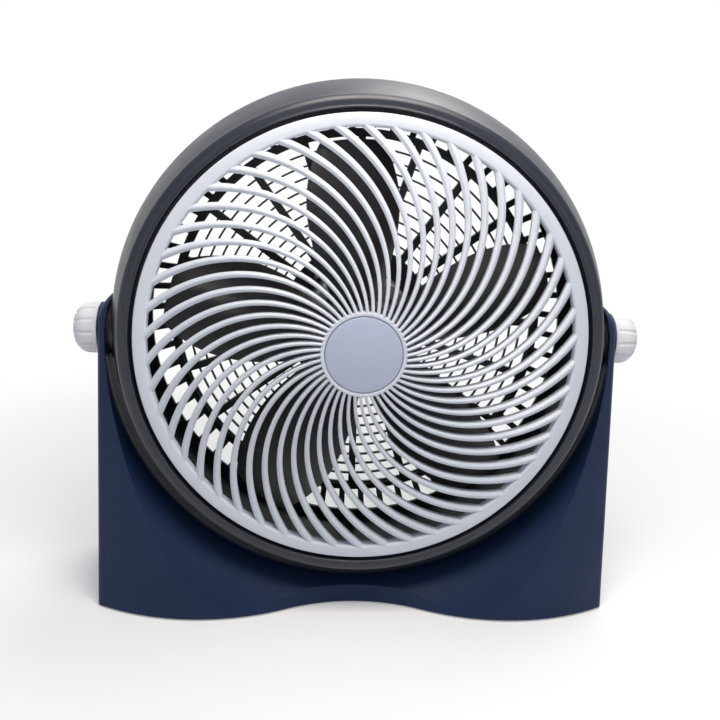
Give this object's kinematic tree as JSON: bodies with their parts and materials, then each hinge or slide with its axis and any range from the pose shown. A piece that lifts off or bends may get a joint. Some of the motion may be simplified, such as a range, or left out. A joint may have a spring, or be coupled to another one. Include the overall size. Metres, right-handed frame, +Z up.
{
  "type": "air circulator fan",
  "caption": "Round tilting fan head with a spiral front grille and a propeller inside, held between the two arms of a saddle-shaped base by a domed hand knob on each side.",
  "frame": {"origin": "on the floor under the middle of the whole fan, with the head level", "axes": "+X to the right seen from the front, -Y the way the air leaves, +Z up"},
  "size_m": [0.4438, 0.1898, 0.4075],
  "materials": {
    "base_plastic": "satin",
    "bezel_plastic": "gloss",
    "grille_plastic": "satin",
    "cap_plastic": "satin",
    "guard_plastic": "satin",
    "propeller_plastic": "gloss",
    "cover_plastic": "satin",
    "dial_plastic": "satin",
    "switch_plastic": "matte",
    "knob_plastic": "satin",
    "washer_plastic": "matte",
    "nylon": "matte",
    "foot_rubber": "matte",
    "screw_steel": "satin",
    "shaft_steel": "satin",
    "motor_iron": "matte",
    "bell_aluminium": "satin",
    "winding_copper": "satin",
    "wire_skin": "satin"
  },
  "bodies": {
    "base": {"base_shell": "base_plastic", "base_plate": "base_plastic", "base_screws": "screw_steel", "rubber_feet": "foot_rubber", "pivot_bush_left": "nylon", "pivot_bush_right": "nylon"},
    "head": {"front_bezel": "bezel_plastic", "front_grille": "grille_plastic", "hub_cap": "cap_plastic", "grille_screws": "screw_steel", "rear_grille": "guard_plastic", "housing_screws": "screw_steel", "motor_end_front": "bell_aluminium", "motor_end_rear": "bell_aluminium", "stator_core": "motor_iron", "stator_windings": "winding_copper", "motor_screws": "screw_steel", "bearing_front": "shaft_steel", "bearing_rear": "shaft_steel", "motor_cover": "cover_plastic", "cord_bushing": "cover_plastic", "cover_screws": "screw_steel", "speed_switch": "switch_plastic", "switch_nut": "shaft_steel", "run_capacitor": "switch_plastic", "lead_wires": "wire_skin", "pivot_washer_left": "washer_plastic", "pivot_washer_right": "washer_plastic", "pivot_nut_left": "shaft_steel", "pivot_nut_right": "shaft_steel"},
    "rotor": {"rotor_core": "motor_iron", "motor_shaft": "shaft_steel", "propeller": "propeller_plastic", "drive_pin": "shaft_steel", "propeller_nut": "propeller_plastic"},
    "dial": {"speed_dial": "dial_plastic", "switch_spindle": "nylon"},
    "clamp_left": {"tilt_knob_left": "knob_plastic", "knob_stud_left": "shaft_steel"},
    "clamp_right": {"tilt_knob_right": "knob_plastic", "knob_stud_right": "shaft_steel"}
  },
  "joints": [
    {"name": "head_tilt", "type": "hinge", "parent": "base", "child": "head", "pos_m": [0, -0.02005, 0.2176], "axis": [-1, 0, 0], "range_deg": [-15, 90]},
    {"name": "propeller_spin", "type": "hinge", "parent": "head", "child": "rotor", "pos_m": [0, -0.02005, 0.2176], "axis": [0, 1, 0], "continuous": true},
    {"name": "dial_turn", "type": "hinge", "parent": "head", "child": "dial", "pos_m": [0, -0.02005, 0.2176], "axis": [0, 1, 0], "range_deg": [0, 135]},
    {"name": "clamp_left_turn", "type": "hinge", "parent": "head", "child": "clamp_left", "pos_m": [0, -0.02005, 0.2176], "axis": [-1, 0, 0], "range_deg": [0, 270]},
    {"name": "clamp_right_turn", "type": "hinge", "parent": "head", "child": "clamp_right", "pos_m": [0, -0.02005, 0.2176], "axis": [1, 0, 0], "range_deg": [0, 270]}
  ]
}
